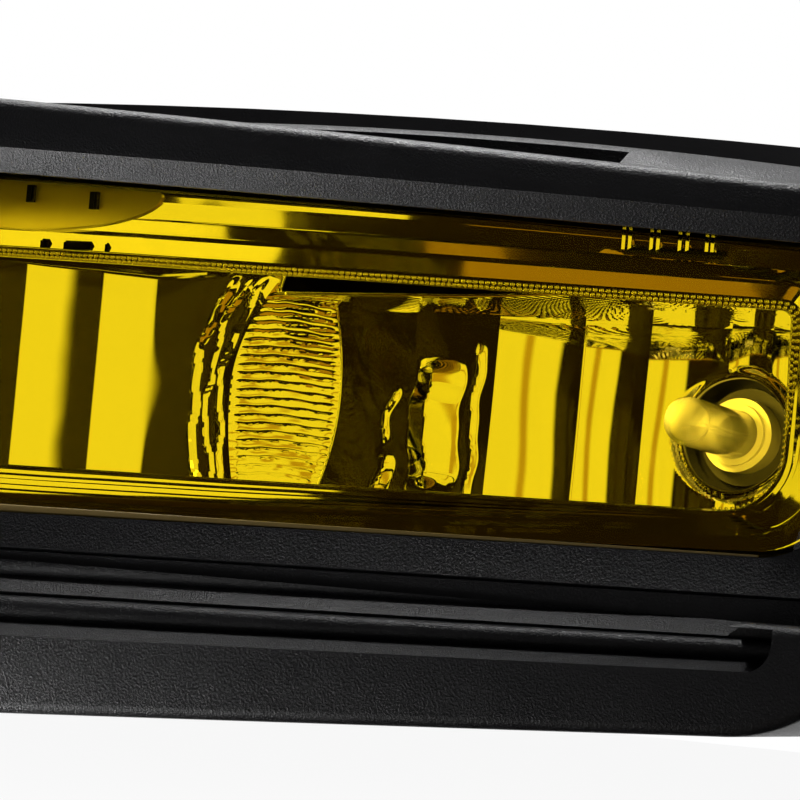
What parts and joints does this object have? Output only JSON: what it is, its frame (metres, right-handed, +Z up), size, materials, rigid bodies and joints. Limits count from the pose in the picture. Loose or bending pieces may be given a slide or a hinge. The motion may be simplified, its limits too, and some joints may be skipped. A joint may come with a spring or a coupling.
{
  "type": "vehicle fog light",
  "caption": "Wide rectangular bumper fog lamp: amber lens over a fluted chrome reflector and bulb, in a black stepped bezel on a bolt-on frame, with tilt adjuster and twist-out bulb.",
  "frame": {"origin": "centre of the four bumper fixing holes, on the carrier frame's rear face, where it meets the bumper bracket", "axes": "+X to the right of someone facing the lamp, along its length; +Y back into the vehicle, away from the beam; +Z up"},
  "size_m": [0.334, 0.1412, 0.1694],
  "materials": {
    "bezel_plastic": "fine grained, satin",
    "carrier_plastic": "smooth moulded, semi-gloss",
    "housing_plastic": "moulded, satin",
    "collar_plastic": "moulded, satin",
    "holder_plastic": "moulded, satin",
    "nylon": "moulded, waxy",
    "amber_lens": "clear yellow, polished",
    "bulb_clear_glass": "clear, polished",
    "seal_rubber": "soft, matte",
    "cap_rubber": "soft, matte",
    "bright_metal": "vacuum-coated mirror",
    "bright_trim": "vacuum-coated mirror",
    "zinc_steel": "zinc plated",
    "base_metal": "bright plated",
    "wire_steel": "drawn wire",
    "terminal_brass": "tinned blade"
  },
  "bodies": {
    "mount_frame": {"carrier": "carrier_plastic", "bezel": "bezel_plastic", "bezel_screws": "zinc_steel", "mount_sleeves": "zinc_steel", "pivot_bush_left": "nylon", "pivot_bush_right": "nylon"},
    "lamp": {"housing": "housing_plastic", "lens": "amber_lens", "lens_seal": "seal_rubber", "vent_cap": "cap_rubber", "reflector": "bright_metal", "reflector_screws": "zinc_steel", "trim_frame": "bright_trim", "bulb_collar": "collar_plastic", "pivot_pin_left": "zinc_steel", "pivot_pin_right": "zinc_steel", "aim_socket": "nylon"},
    "adjuster_screw": {"aim_screw": "zinc_steel", "aim_clip": "zinc_steel"},
    "adjuster_nut": {"aim_nut": "nylon"},
    "bulb": {"bulb_holder": "holder_plastic", "bulb_seal": "seal_rubber", "bulb_base": "base_metal", "bulb_glass": "bulb_clear_glass", "bulb_leads": "wire_steel", "bulb_filament": "wire_steel", "bulb_terminals": "terminal_brass"}
  },
  "joints": [
    {"name": "lamp_tilt", "type": "hinge", "parent": "mount_frame", "child": "lamp", "pos_m": [0, 0.012, 0], "axis": [1, 0, 0], "range_deg": [-3, 3]},
    {"name": "aim_screw_turn", "type": "hinge", "parent": "mount_frame", "child": "adjuster_screw", "pos_m": [-0.04, 0.034, -0.06], "axis": [0, 1, 0], "range_deg": [-720, 720]},
    {"name": "aim_nut_travel", "type": "slide", "parent": "mount_frame", "child": "adjuster_nut", "axis": [0, 1, 0], "range_m": [-0.0035, 0.0035]},
    {"name": "bulb_twist", "type": "hinge", "parent": "lamp", "child": "bulb", "pos_m": [0.0855, 0.034, -0.003], "axis": [0, 1, 0], "range_deg": [0, 45]}
  ],
  "couplings": [
    {"joint": "aim_screw_turn", "follows": "lamp_tilt", "ratio": -235.6},
    {"joint": "aim_nut_travel", "follows": "lamp_tilt", "m_per_rad": 0.06}
  ]
}
